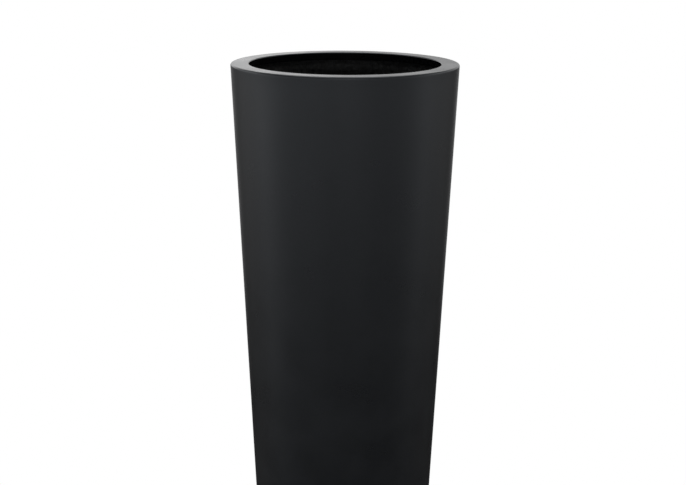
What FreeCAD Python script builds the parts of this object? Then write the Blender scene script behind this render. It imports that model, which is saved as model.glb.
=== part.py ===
"""Tall round planter in glass-reinforced plastic (GRP), 900 mm high.

A tapering shell carries a separately moulded flat rim, joined from inside by a strip of laminate. A
dished pan is bonded into the shell's foot. It holds the drain fitting and stands on four bonded blocks,
each with a screwed rubber foot. Half way up, four bonded cleats carry a lift-out shelf, so that only the
upper half of the planter is filled with soil.

Frame: millimetres, +Z up. The origin is on the floor, on the planter's axis.
"""

import FreeCAD, Part
import os

import Sketcher
from FreeCAD import Placement, Rotation, Vector

SIZES = {
    # shell
    "total_height": 900,            # floor to the top face of the rim
    "rim_diameter": 400,            # outside of the rim
    "base_diameter": 300,           # outside of the shell at its lower edge
    "shell_lift": 5,                # lower edge of the shell above the floor
    "shell_wall": 5,                # thickness of the laminate, measured level
    "shell_edge_radius": 1.5,       # lower outer edge
    # rim
    "rim_width": 32,                # flat top face, outside edge to opening
    "rim_thickness": 5,
    "rim_edge_radius": 3,           # both edges of the top face
    "lip_drop": 14,                 # top face to the lower end of the inner lip
    "lip_thickness": 4,
    "strip_depth": 45,              # laminate strip behind the joint, down the wall
    "strip_reach": 14,              # and inwards under the rim
    "strip_thickness": 3,
    "bond_gap": 0.3,                # glue line between mouldings
    # pan in the foot of the shell
    "pan_height": 24,               # underside above the floor
    "pan_thickness": 6,
    "pan_flange_height": 35,        # above the floor of the pan
    "pan_flange_thickness": 4,
    "pan_corner_radius": 3,
    "bead_leg": 5,                  # resin fillet between the pan's flange and the wall
    "bead_gap": 0.05,               # between the fillet and the faces it joins
    # feet
    "foot_circle": 210,             # diameter of the circle through the feet
    "block_diameter": 44,           # block under the pan, above each foot
    "foot_diameter": 38,
    "foot_thickness": 8,
    "foot_taper": 1.5,              # how much less its radius is on the floor
    "foot_recess_diameter": 15,
    "foot_recess_depth": 4.5,
    "screw_diameter": 5,
    "screw_length": 15,
    "screw_head_diameter": 9.5,
    "screw_head_thickness": 2.8,
    "screw_head_bevel": 0.8,
    "socket_width": 3,              # hexagon socket, across its flats
    "socket_depth": 1.6,
    "hole_clearance": 0.3,          # round a shank or stem, on the radius
    "thread_clearance": 0.05,       # round a thread or an insert, on the radius
    "washer_diameter": 13,
    "washer_thickness": 1,
    "insert_diameter": 8,
    "insert_length": 12,
    "insert_relief": 2,             # hole beyond the insert
    # drain fitting
    "outlet_bore": 20,
    "outlet_wall": 4.5,
    "outlet_projection": 12,        # stem below the pan
    "outlet_flange_diameter": 50,
    "outlet_flange_thickness": 3.5,
    "outlet_edge_radius": 1,
    "gasket_diameter": 46,
    "gasket_thickness": 2.5,
    "locknut_width": 42,            # across the flats
    "locknut_thickness": 9,
    # drain plug
    "plug_clearance": 0.15,         # in the outlet, on the radius
    "plug_head_diameter": 31,
    "plug_head_thickness": 4,
    "plug_head_radius": 1,
    "plug_length": 22,              # below the head
    "plug_point_length": 5,
    "plug_point_diameter": 16,
    "tab_width": 16,
    "tab_height": 20,
    "tab_thickness": 4,
    "tab_hole_diameter": 8,
    # shelf
    "planting_depth": 430,          # top face of the rim down to the shelf
    "shelf_clearance": 4,           # round the shelf, at the lip and at the wall
    "shelf_thickness": 5,
    "shelf_depth": 22,              # overall, with the turned-down edge
    "shelf_edge_thickness": 4,
    "shelf_edge_radius": 3,
    "finger_edge_radius": 2,        # upper edge of the finger holes
    "groove_width": 6,              # round grooves that lead water to the drain holes
    "groove_depth": 1.5,
    "shelf_rib_thickness": 4,
    "shelf_rib_depth": 12,          # below the plate
    "shelf_hub_diameter": 44,
    "shelf_hole_diameter": 10,
    "inner_hole_circle": 100,
    "outer_hole_circle": 250,
    "finger_hole_diameter": 32,
    "finger_hole_circle": 170,
    # cleats under the shelf
    "cleat_angle": 24,              # degrees of the circle that one cleat covers
    "cleat_thickness": 5,
    "cleat_height": 45,
    "cleat_bearing": 15,            # overlap of cleat and shelf
    "gusset_thickness": 6,
}

CORNERS = ("back_right", "back_left", "front_left", "front_right")
FIRST_CORNER_ANGLE = 45             # degrees from +X
SIDES = ("right", "back", "left", "front")
RIB_COUNT = 6
INNER_HOLE_COUNT = 6
OUTER_HOLE_COUNT = 12
FINGER_HOLE_COUNT = 2
FULL_TURN = 360
HEXAGON_COUNT = 6                   # sides of a hexagon
TOLERANCE = 1e-3                    # for finding an edge by its radius and height
AXIS = "0"                          # a distance of nothing from the axis or from the floor

# Heights and radii that several pieces share, as expressions on the sheet of sizes.
WALL_TOP = "(Sizes.total_height - Sizes.rim_thickness)"
TAPER = "((Sizes.rim_diameter - Sizes.base_diameter) / 2 / (Sizes.total_height - Sizes.shell_lift))"
LIP_RADIUS = "(Sizes.rim_diameter / 2 - Sizes.rim_width)"
PAN_TOP = "(Sizes.pan_height + Sizes.pan_thickness)"
PAN_FLANGE_TOP = f"({PAN_TOP} + Sizes.pan_flange_height)"
FOOT_RADIUS = "(Sizes.foot_circle / 2)"
SCREW_HOLE_DIAMETER = "(Sizes.screw_diameter + 2 * Sizes.hole_clearance)"
HEAD_TOP = "(Sizes.foot_recess_depth - Sizes.washer_thickness)"
HEAD_FOOT = f"({HEAD_TOP} - Sizes.screw_head_thickness)"
INSERT_HOLE_DIAMETER = "(Sizes.insert_diameter + 2 * Sizes.thread_clearance)"
STEM_DIAMETER = "(Sizes.outlet_bore + 2 * Sizes.outlet_wall)"
STEM_HOLE_DIAMETER = f"({STEM_DIAMETER} + 2 * Sizes.hole_clearance)"
STEM_FOOT = "(Sizes.pan_height - Sizes.outlet_projection)"
GASKET_TOP = f"({PAN_TOP} + Sizes.gasket_thickness)"
OUTLET_TOP = f"({GASKET_TOP} + Sizes.outlet_flange_thickness)"
PLUG_TOP = f"({OUTLET_TOP} + Sizes.plug_head_thickness)"
SHELF_TOP = "(Sizes.total_height - Sizes.planting_depth)"
SHELF_UNDERSIDE = f"({SHELF_TOP} - Sizes.shelf_thickness)"
SHELF_SEAT = f"({SHELF_TOP} - Sizes.shelf_depth)"
RIB_FOOT = f"({SHELF_UNDERSIDE} - Sizes.shelf_rib_depth)"


def outside(height):
    """Radius of the shell's outer face at a height."""
    return f"(Sizes.base_diameter / 2 + ({height} - Sizes.shell_lift) * {TAPER})"


def inside(height):
    """Radius of the shell's inner face at a height."""
    return f"({outside(height)} - Sizes.shell_wall)"


def bonded(height):
    """Radius of a moulding that is glued to the shell's inner face, at a height."""
    return f"({inside(height)} - Sizes.bond_gap)"


# The shelf passes the lip on its way down and stands clear of the wall at its seat.
SHELF_RADIUS = f"(min({LIP_RADIUS}; {inside(SHELF_SEAT)}) - Sizes.shelf_clearance)"


# ---- making bodies ----


def make_sheet(doc):
    sheet = doc.addObject("Spreadsheet::Sheet", "Sizes")
    for row, (name, value) in enumerate(SIZES.items(), start=1):
        sheet.set(f"A{row}", name)
        sheet.set(f"B{row}", str(value))
        sheet.setAlias(f"B{row}", name)
    doc.recompute()


def make_body(doc, name, turn=0):
    """An empty body, turned about the planter's axis by an angle in degrees."""
    body = doc.addObject("PartDesign::Body", name)
    body.AllowCompound = True
    body.Placement = Placement(Vector(0, 0, 0), Rotation(Vector(0, 0, 1), turn))
    return body


def origin_feature(body, role):
    return next(item for item in body.Origin.OriginFeatures if item.Role == role)


def attach(feature, body, plane, height=AXIS, turn=0):
    """Puts a sketch or a primitive on one of the body's planes, at a height and turned about the axis."""
    feature.AttachmentSupport = (origin_feature(body, plane), [""])
    feature.MapMode = "FlatFace"
    feature.AttachmentOffset = Placement(Vector(0, 0, 0), Rotation(Vector(0, 0, 1), turn))
    feature.setExpression(".AttachmentOffset.Base.z", height)


def make_sketch(body, name, plane, height=AXIS, turn=0):
    sketch = body.newObject("Sketcher::SketchObject", name)
    attach(sketch, body, plane, height, turn)
    return sketch


def place_point(sketch, geometry, point, x, y):
    """Ties a point of a line or a circle to two coordinates in the sketch."""
    for kind, axis, expression in (("DistanceX", -2, x), ("DistanceY", -1, y)):
        if expression == AXIS:
            sketch.addConstraint(Sketcher.Constraint("PointOnObject", geometry, point, axis))
            continue
        value = float(sketch.evalExpression(expression))
        index = sketch.addConstraint(Sketcher.Constraint(kind, -1, 1, geometry, point, value))
        sketch.setExpression(f"Constraints[{index}]", expression)


def draw_outline(sketch, points):
    """A closed outline of straight lines, through points given as pairs of expressions."""
    corners = []
    for x, y in points:
        corners.append(Vector(float(sketch.evalExpression(x)), float(sketch.evalExpression(y)), 0))
    lines = []
    for start, end in zip(corners, corners[1:] + corners[:1]):
        lines.append(sketch.addGeometry(Part.LineSegment(start, end), False))
    for line, after in zip(lines, lines[1:] + lines[:1]):
        sketch.addConstraint(Sketcher.Constraint("Coincident", line, 2, after, 1))
    for line, (x, y) in zip(lines, points):
        place_point(sketch, line, 1, x, y)


def draw_circle(sketch, diameter, x=AXIS, y=AXIS):
    centre = Vector(float(sketch.evalExpression(x)), float(sketch.evalExpression(y)), 0)
    radius = float(sketch.evalExpression(diameter)) / 2
    circle = sketch.addGeometry(Part.Circle(centre, Vector(0, 0, 1), radius), False)
    place_point(sketch, circle, 3, x, y)
    index = sketch.addConstraint(Sketcher.Constraint("Diameter", circle, 2 * radius))
    sketch.setExpression(f"Constraints[{index}]", diameter)


def revolve(body, name, points, radius=AXIS, angle=None):
    """Turns an outline of radii and heights about the axis, or about an upright line at some radius."""
    sketch = make_sketch(body, f"{name}_outline", "XZ_Plane")
    sketch.setExpression(".AttachmentOffset.Base.x", radius)
    draw_outline(sketch, points)
    turned = body.newObject("PartDesign::Revolution", name)
    turned.Profile = sketch
    turned.ReferenceAxis = (sketch, ["V_Axis"])
    turned.Angle = FULL_TURN
    if angle:
        turned.Midplane = True
        turned.setExpression("Angle", angle)
    return turned


def pad_circles(body, name, diameters, bottom, top, radius=AXIS):
    """An upright cylinder, or a ring where there are two diameters."""
    sketch = make_sketch(body, f"{name}_outline", "XY_Plane", bottom)
    for diameter in diameters:
        draw_circle(sketch, diameter, x=radius)
    pad = body.newObject("PartDesign::Pad", name)
    pad.Profile = sketch
    pad.setExpression("Length", f"{top} - {bottom}")
    return pad


def pad_upright(body, name, thickness):
    """An upright plate, half of it on each side of the XZ plane. Returns its empty sketch."""
    sketch = make_sketch(body, f"{name}_outline", "XZ_Plane")
    pad = body.newObject("PartDesign::Pad", name)
    pad.Profile = sketch
    pad.Midplane = True
    pad.setExpression("Length", thickness)
    return sketch


def cut_groove(body, name, radius, width, depth, top):
    """A round groove in a level face."""
    sketch = make_sketch(body, f"{name}_outline", "XZ_Plane")
    draw_outline(sketch, [
        (f"{radius} - {width} / 2", f"{top} - {depth}"),
        (f"{radius} + {width} / 2", f"{top} - {depth}"),
        (f"{radius} + {width} / 2", top),
        (f"{radius} - {width} / 2", top),
    ])
    groove = body.newObject("PartDesign::Groove", name)
    groove.Profile = sketch
    groove.ReferenceAxis = (sketch, ["V_Axis"])
    groove.Angle = FULL_TURN


def drill(body, name, diameter, bottom, top, radius=AXIS, turn=0):
    """An upright round hole, cut downwards from its upper end."""
    sketch = make_sketch(body, f"{name}_outline", "XY_Plane", top, turn)
    draw_circle(sketch, diameter, x=radius)
    hole = body.newObject("PartDesign::Pocket", name)
    hole.Profile = sketch
    hole.setExpression("Length", f"{top} - {bottom}")
    return hole


def repeat(body, name, features, count):
    """Repeats features round the axis."""
    pattern = body.newObject("PartDesign::PolarPattern", name)
    pattern.Originals = features
    pattern.Axis = (origin_feature(body, "Z_Axis"), [""])
    pattern.Angle = FULL_TURN
    pattern.Occurrences = count
    body.Tip = pattern


def round_edges(doc, body, name, circles, fillet_radius):
    """Rounds the round edges that lie at given radii and heights."""
    doc.recompute()
    base = body.Tip
    edges = []
    for radius, height in circles:
        wanted_radius = float(base.evalExpression(radius))
        wanted_height = float(base.evalExpression(height))
        for number, edge in enumerate(base.Shape.Edges, start=1):
            if not isinstance(edge.Curve, Part.Circle):
                continue
            right_radius = abs(edge.Curve.Radius - wanted_radius) < TOLERANCE
            if right_radius and abs(edge.Curve.Center.z - wanted_height) < TOLERANCE:
                edges.append(f"Edge{number}")
    fillet = body.newObject("PartDesign::Fillet", name)
    fillet.Base = (base, edges)
    fillet.setExpression("Radius", fillet_radius)
    body.Tip = fillet


# ---- pieces of the planter ----


def make_outer_shell(doc):
    """The tapering wall, laid up in a mould, open at both ends."""
    body = make_body(doc, "outer_shell")
    revolve(body, "wall", [
        (outside("Sizes.shell_lift"), "Sizes.shell_lift"),
        (outside(WALL_TOP), WALL_TOP),
        (inside(WALL_TOP), WALL_TOP),
        (inside("Sizes.shell_lift"), "Sizes.shell_lift"),
    ])
    lower_edge = (outside("Sizes.shell_lift"), "Sizes.shell_lift")
    round_edges(doc, body, "lower_edge", [lower_edge], "Sizes.shell_edge_radius")
    return body


def make_rim_ring(doc):
    """The flat rim, which lies on the wall's top edge, with a lip down into the opening."""
    body = make_body(doc, "rim_ring")
    lip_back = f"({LIP_RADIUS} + Sizes.lip_thickness)"
    lip_foot = "(Sizes.total_height - Sizes.lip_drop)"
    revolve(body, "ring", [
        ("Sizes.rim_diameter / 2", "Sizes.total_height"),
        ("Sizes.rim_diameter / 2", WALL_TOP),
        (lip_back, WALL_TOP),
        (lip_back, lip_foot),
        (LIP_RADIUS, lip_foot),
        (LIP_RADIUS, "Sizes.total_height"),
    ])
    top_edges = [("Sizes.rim_diameter / 2", "Sizes.total_height"), (LIP_RADIUS, "Sizes.total_height")]
    round_edges(doc, body, "top_edges", top_edges, "Sizes.rim_edge_radius")
    return body


def make_rim_joint_strip(doc):
    """Laminate laid into the corner under the rim, which joins the rim to the wall from inside."""
    body = make_body(doc, "rim_joint_strip")
    foot = f"({WALL_TOP} - Sizes.strip_depth)"
    ledge = f"({WALL_TOP} - Sizes.strip_thickness)"
    reach = f"({bonded(WALL_TOP)} - Sizes.strip_reach)"
    revolve(body, "strip", [
        (bonded(WALL_TOP), WALL_TOP),
        (bonded(foot), foot),
        (f"{bonded(foot)} - Sizes.strip_thickness", foot),
        (f"{bonded(ledge)} - Sizes.strip_thickness", ledge),
        (reach, ledge),
        (reach, WALL_TOP),
    ])
    return body


def make_base_pan(doc):
    """The dished floor: a disc with an upturned flange against the wall and a hole for the drain."""
    body = make_body(doc, "base_pan")
    flange_inside = f"({bonded(PAN_FLANGE_TOP)} - Sizes.pan_flange_thickness)"
    corner_inside = f"({bonded(PAN_TOP)} - Sizes.pan_flange_thickness)"
    revolve(body, "dish", [
        (f"{STEM_HOLE_DIAMETER} / 2", "Sizes.pan_height"),
        (bonded("Sizes.pan_height"), "Sizes.pan_height"),
        (bonded(PAN_FLANGE_TOP), PAN_FLANGE_TOP),
        (flange_inside, PAN_FLANGE_TOP),
        (corner_inside, PAN_TOP),
        (f"{STEM_HOLE_DIAMETER} / 2", PAN_TOP),
    ])
    corners = [(bonded("Sizes.pan_height"), "Sizes.pan_height"), (corner_inside, PAN_TOP)]
    round_edges(doc, body, "corners", corners, "Sizes.pan_corner_radius")
    return body


def make_base_bond_bead(doc):
    """Resin fillet on the pan's flange, against the wall."""
    body = make_body(doc, "base_bond_bead")
    foot = f"({PAN_FLANGE_TOP} + Sizes.bead_gap)"
    top = f"({foot} + Sizes.bead_leg)"
    revolve(body, "fillet", [
        (f"{inside(foot)} - Sizes.bead_gap", foot),
        (f"{inside(top)} - Sizes.bead_gap", top),
        (f"{inside(foot)} - Sizes.bead_gap - Sizes.bead_leg", foot),
    ])
    return body


def make_shelf_cleat(doc, name, turn):
    """An angle bonded to the wall, with a gusset, that carries the edge of the shelf."""
    body = make_body(doc, name, turn)
    ledge_inside = f"({SHELF_RADIUS} - Sizes.cleat_bearing)"
    ledge_foot = f"({SHELF_SEAT} - Sizes.cleat_thickness)"
    cleat_foot = f"({SHELF_SEAT} - Sizes.cleat_height)"
    back_at_ledge = f"({bonded(ledge_foot)} - Sizes.cleat_thickness)"
    back_at_foot = f"({bonded(cleat_foot)} - Sizes.cleat_thickness)"
    revolve(body, "angle", [
        (ledge_inside, SHELF_SEAT),
        (bonded(SHELF_SEAT), SHELF_SEAT),
        (bonded(cleat_foot), cleat_foot),
        (back_at_foot, cleat_foot),
        (back_at_ledge, ledge_foot),
        (ledge_inside, ledge_foot),
    ], angle="Sizes.cleat_angle")
    outline = pad_upright(body, "gusset", "Sizes.gusset_thickness")
    draw_outline(outline, [
        (ledge_inside, f"{ledge_foot} + Sizes.cleat_thickness / 2"),
        (f"{back_at_ledge} + Sizes.cleat_thickness / 2", f"{ledge_foot} + Sizes.cleat_thickness / 2"),
        (f"{back_at_foot} + Sizes.cleat_thickness / 2", cleat_foot),
        (back_at_foot, cleat_foot),
        (ledge_inside, ledge_foot),
    ])
    return body


# ---- feet ----


def make_foot_block(doc, name, turn):
    """A round laminate block bonded under the pan, with a blind hole for its insert."""
    body = make_body(doc, name, turn)
    foot = "Sizes.foot_thickness"
    pad_circles(body, "block", ["Sizes.block_diameter"], foot, "Sizes.pan_height", FOOT_RADIUS)
    hole_top = "(Sizes.foot_thickness + Sizes.insert_length + Sizes.insert_relief)"
    drill(body, "insert_hole", INSERT_HOLE_DIAMETER, foot, hole_top, FOOT_RADIUS)
    return body


def make_rubber_foot(doc, name, turn):
    """A rubber pad, narrower on the floor, with a recess for its screw."""
    body = make_body(doc, name, turn)
    floor_radius = "(Sizes.foot_diameter / 2 - Sizes.foot_taper)"
    revolve(body, "pad", [
        ("Sizes.foot_recess_diameter / 2", AXIS),
        (floor_radius, AXIS),
        ("Sizes.foot_diameter / 2", "Sizes.foot_thickness"),
        (f"{SCREW_HOLE_DIAMETER} / 2", "Sizes.foot_thickness"),
        (f"{SCREW_HOLE_DIAMETER} / 2", "Sizes.foot_recess_depth"),
        ("Sizes.foot_recess_diameter / 2", "Sizes.foot_recess_depth"),
    ], radius=FOOT_RADIUS)
    return body


def make_foot_screws(doc):
    """Button-head screws, one up through each foot."""
    body = make_body(doc, "foot_screws", turn=FIRST_CORNER_ANGLE)
    head_radius = "(Sizes.screw_head_diameter / 2)"
    screw = revolve(body, "screw", [
        (AXIS, HEAD_FOOT),
        (f"{head_radius} - Sizes.screw_head_bevel", HEAD_FOOT),
        (head_radius, f"{HEAD_FOOT} + Sizes.screw_head_bevel"),
        (head_radius, HEAD_TOP),
        ("Sizes.screw_diameter / 2", HEAD_TOP),
        ("Sizes.screw_diameter / 2", f"{HEAD_TOP} + Sizes.screw_length"),
        (AXIS, f"{HEAD_TOP} + Sizes.screw_length"),
    ], radius=FOOT_RADIUS)
    repeat(body, "screws", [screw], len(CORNERS))
    socket = body.newObject("PartDesign::SubtractivePrism", "socket")
    attach(socket, body, "XY_Plane", HEAD_FOOT)
    socket.setExpression(".AttachmentOffset.Base.x", FOOT_RADIUS)
    socket.Polygon = HEXAGON_COUNT
    socket.setExpression("Circumradius", "Sizes.socket_width / 2 / cos(30)")
    socket.setExpression("Height", "Sizes.socket_depth")
    repeat(body, "sockets", [socket], len(CORNERS))
    return body


def make_foot_washers(doc):
    body = make_body(doc, "foot_washers", turn=FIRST_CORNER_ANGLE)
    diameters = ["Sizes.washer_diameter", SCREW_HOLE_DIAMETER]
    washer = pad_circles(body, "washer", diameters, HEAD_TOP, "Sizes.foot_recess_depth", FOOT_RADIUS)
    repeat(body, "washers", [washer], len(CORNERS))
    return body


def make_foot_inserts(doc):
    """Threaded brass sleeves, set into the blocks."""
    body = make_body(doc, "foot_inserts", turn=FIRST_CORNER_ANGLE)
    diameters = ["Sizes.insert_diameter", "(Sizes.screw_diameter + 2 * Sizes.thread_clearance)"]
    top = "(Sizes.foot_thickness + Sizes.insert_length)"
    sleeve = pad_circles(body, "sleeve", diameters, "Sizes.foot_thickness", top, FOOT_RADIUS)
    repeat(body, "sleeves", [sleeve], len(CORNERS))
    return body


# ---- drain ----


def make_drain_outlet(doc):
    """A flanged nylon tube through the pan."""
    body = make_body(doc, "drain_outlet")
    flange_radius = "(Sizes.outlet_flange_diameter / 2)"
    revolve(body, "tube", [
        ("Sizes.outlet_bore / 2", STEM_FOOT),
        (f"{STEM_DIAMETER} / 2", STEM_FOOT),
        (f"{STEM_DIAMETER} / 2", GASKET_TOP),
        (flange_radius, GASKET_TOP),
        (flange_radius, OUTLET_TOP),
        ("Sizes.outlet_bore / 2", OUTLET_TOP),
    ])
    round_edges(doc, body, "flange_edge", [(flange_radius, OUTLET_TOP)], "Sizes.outlet_edge_radius")
    return body


def make_drain_gasket(doc):
    body = make_body(doc, "drain_gasket")
    pad_circles(body, "ring", ["Sizes.gasket_diameter", STEM_HOLE_DIAMETER], PAN_TOP, GASKET_TOP)
    return body


def make_drain_locknut(doc):
    """A hexagon nut that clamps the outlet from below."""
    body = make_body(doc, "drain_locknut")
    bottom = "(Sizes.pan_height - Sizes.locknut_thickness)"
    hexagon = body.newObject("PartDesign::AdditivePrism", "hexagon")
    attach(hexagon, body, "XY_Plane", bottom)
    hexagon.Polygon = HEXAGON_COUNT
    hexagon.setExpression("Circumradius", "Sizes.locknut_width / 2 / cos(30)")
    hexagon.setExpression("Height", "Sizes.locknut_thickness")
    thread_diameter = f"({STEM_DIAMETER} + 2 * Sizes.thread_clearance)"
    drill(body, "thread", thread_diameter, bottom, "Sizes.pan_height")
    return body


def make_drain_plug(doc):
    """A rubber bung with a pull tab, lifted out by hand or with a hook."""
    body = make_body(doc, "drain_plug")
    plug_radius = "(Sizes.outlet_bore / 2 - Sizes.plug_clearance)"
    head_radius = "(Sizes.plug_head_diameter / 2)"
    plug_foot = f"({OUTLET_TOP} - Sizes.plug_length)"
    revolve(body, "bung", [
        (AXIS, plug_foot),
        ("Sizes.plug_point_diameter / 2", plug_foot),
        (plug_radius, f"{plug_foot} + Sizes.plug_point_length"),
        (plug_radius, OUTLET_TOP),
        (head_radius, OUTLET_TOP),
        (head_radius, PLUG_TOP),
        (AXIS, PLUG_TOP),
    ])
    round_edges(doc, body, "head_edge", [(head_radius, PLUG_TOP)], "Sizes.plug_head_radius")
    tab_centre = f"({PLUG_TOP} + Sizes.tab_height - Sizes.tab_width / 2)"
    root = f"({OUTLET_TOP} + Sizes.plug_head_thickness / 2)"
    outline = pad_upright(body, "tab_shank", "Sizes.tab_thickness")
    draw_outline(outline, [
        ("-Sizes.tab_width / 2", root),
        ("Sizes.tab_width / 2", root),
        ("Sizes.tab_width / 2", tab_centre),
        ("-Sizes.tab_width / 2", tab_centre),
    ])
    outline = pad_upright(body, "tab_end", "Sizes.tab_thickness")
    draw_circle(outline, "Sizes.tab_width", y=tab_centre)
    outline = make_sketch(body, "tab_hole_outline", "XZ_Plane")
    draw_circle(outline, "Sizes.tab_hole_diameter", y=tab_centre)
    hole = body.newObject("PartDesign::Pocket", "tab_hole")
    hole.Profile = outline
    hole.Type = "ThroughAll"
    hole.Midplane = True
    return body


# ---- shelf ----


def make_shelf(doc):
    """A ribbed disc with a turned-down edge, drain holes and two finger holes."""
    body = make_body(doc, "shelf")
    edge_inside = f"({SHELF_RADIUS} - Sizes.shelf_edge_thickness)"
    revolve(body, "disc", [
        (AXIS, SHELF_UNDERSIDE),
        (edge_inside, SHELF_UNDERSIDE),
        (edge_inside, SHELF_SEAT),
        (SHELF_RADIUS, SHELF_SEAT),
        (SHELF_RADIUS, SHELF_TOP),
        (AXIS, SHELF_TOP),
    ])
    round_edges(doc, body, "top_edge", [(SHELF_RADIUS, SHELF_TOP)], "Sizes.shelf_edge_radius")
    for name in ("inner", "outer"):
        radius = f"Sizes.{name}_hole_circle / 2"
        cut_groove(body, f"{name}_groove", radius, "Sizes.groove_width", "Sizes.groove_depth", SHELF_TOP)
    hub_bore = "(Sizes.shelf_hub_diameter - 2 * Sizes.shelf_rib_thickness)"
    pad_circles(body, "hub", ["Sizes.shelf_hub_diameter", hub_bore], RIB_FOOT, SHELF_UNDERSIDE)
    outline = make_sketch(body, "rib_outline", "XY_Plane", RIB_FOOT)
    rib_start = "(Sizes.shelf_hub_diameter / 2 - Sizes.shelf_rib_thickness / 2)"
    rib_end = f"({SHELF_RADIUS} - Sizes.shelf_edge_thickness / 2)"
    draw_outline(outline, [
        (rib_start, "-Sizes.shelf_rib_thickness / 2"),
        (rib_end, "-Sizes.shelf_rib_thickness / 2"),
        (rib_end, "Sizes.shelf_rib_thickness / 2"),
        (rib_start, "Sizes.shelf_rib_thickness / 2"),
    ])
    rib = body.newObject("PartDesign::Pad", "rib")
    rib.Profile = outline
    rib.setExpression("Length", f"{SHELF_UNDERSIDE} - {RIB_FOOT}")
    repeat(body, "ribs", [rib], RIB_COUNT)
    beside_rib = FULL_TURN / RIB_COUNT / 2
    beside_outer_rib = FULL_TURN / OUTER_HOLE_COUNT / 2
    across_ribs = FULL_TURN / 4
    hole_rows = (
        ("inner_hole", "shelf_hole_diameter", "inner_hole_circle", beside_rib, INNER_HOLE_COUNT),
        ("outer_hole", "shelf_hole_diameter", "outer_hole_circle", beside_outer_rib, OUTER_HOLE_COUNT),
        ("finger_hole", "finger_hole_diameter", "finger_hole_circle", across_ribs, FINGER_HOLE_COUNT),
    )
    for name, diameter, circle, turn, count in hole_rows:
        ends = (SHELF_UNDERSIDE, SHELF_TOP)
        hole = drill(body, name, f"Sizes.{diameter}", *ends, f"(Sizes.{circle} / 2)", turn)
        repeat(body, f"{name}s", [hole], count)
    drill(body, "middle_hole", "Sizes.shelf_hole_diameter", SHELF_UNDERSIDE, SHELF_TOP)
    finger_edges = [("Sizes.finger_hole_diameter / 2", SHELF_TOP)]
    round_edges(doc, body, "finger_edges", finger_edges, "Sizes.finger_edge_radius")
    return body


# ---- the planter ----


def turned_names(prefix, names, first_angle):
    """Names of pieces spread evenly round the axis, each with its angle in degrees from +X."""
    step = FULL_TURN / len(names)
    return [(f"{prefix}_{name}", first_angle + number * step) for number, name in enumerate(names)]


def make_pieces(doc):
    pieces = [
        make_outer_shell(doc),
        make_rim_ring(doc),
        make_rim_joint_strip(doc),
        make_base_pan(doc),
        make_base_bond_bead(doc),
        make_drain_outlet(doc),
        make_drain_gasket(doc),
        make_drain_locknut(doc),
        make_drain_plug(doc),
        make_foot_screws(doc),
        make_foot_washers(doc),
        make_foot_inserts(doc),
        make_shelf(doc),
    ]
    for name, turn in turned_names("foot_block", CORNERS, FIRST_CORNER_ANGLE):
        pieces.append(make_foot_block(doc, name, turn))
    for name, turn in turned_names("rubber_foot", CORNERS, FIRST_CORNER_ANGLE):
        pieces.append(make_rubber_foot(doc, name, turn))
    for name, turn in turned_names("shelf_cleat", SIDES, 0):
        pieces.append(make_shelf_cleat(doc, name, turn))
    return pieces


def check_document(doc, pieces):
    """Stops where a feature failed, a cut removed nothing or a piece has no sound shape."""
    for item in doc.Objects:
        if "Invalid" in item.State or "Error" in item.State:
            raise ValueError(f"{item.Label} failed: {item.State}")
        if item.TypeId in ("PartDesign::Pocket", "PartDesign::Groove", "PartDesign::SubtractivePrism"):
            if item.Shape.Volume >= item.BaseFeature.Shape.Volume:
                raise ValueError(f"{item.Label} cuts nothing")
    for piece in pieces:
        if piece.Shape.isNull() or not piece.Shape.isValid():
            raise ValueError(f"{piece.Label} has no sound shape")


def main():
    doc = FreeCAD.newDocument("planter")
    make_sheet(doc)
    pieces = make_pieces(doc)
    doc.recompute()
    check_document(doc, pieces)
    os.makedirs("parts", exist_ok=True)
    for piece in pieces:
        piece.Shape.exportStep(os.path.join("parts", f"{piece.Label}.step"))
        box = piece.Shape.BoundBox
        solids = len(piece.Shape.Solids)
        print(f"{piece.Label}: {solids} solids, {piece.Shape.Volume:.0f} mm3, z {box.ZMin:.2f} to {box.ZMax:.2f}")


main()
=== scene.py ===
"""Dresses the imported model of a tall, round, tapering fiberglass planter and sets up the studio round it."""

import math

import bpy
from bpy.props import FloatProperty, FloatVectorProperty, IntProperty, PointerProperty
from mathutils import Matrix, Vector, noise


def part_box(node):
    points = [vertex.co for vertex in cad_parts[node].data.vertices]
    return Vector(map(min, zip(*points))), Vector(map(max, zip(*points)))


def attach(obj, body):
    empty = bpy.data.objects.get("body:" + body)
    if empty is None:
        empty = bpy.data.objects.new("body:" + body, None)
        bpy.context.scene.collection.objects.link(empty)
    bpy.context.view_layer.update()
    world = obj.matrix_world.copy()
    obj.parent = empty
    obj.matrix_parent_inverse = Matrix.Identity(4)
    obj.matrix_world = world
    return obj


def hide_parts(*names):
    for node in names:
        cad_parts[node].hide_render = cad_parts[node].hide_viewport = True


bl_info = {
    "name": "Tall fiberglass planter",
    "version": (1, 0, 0),
    "blender": (4, 5, 0),
    "location": "3D View > Sidebar > Planter",
    "description": "Makes the wall, the rim, the raw laminate and the fittings of a tall round planter",
    "category": "Add Mesh",
}

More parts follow.
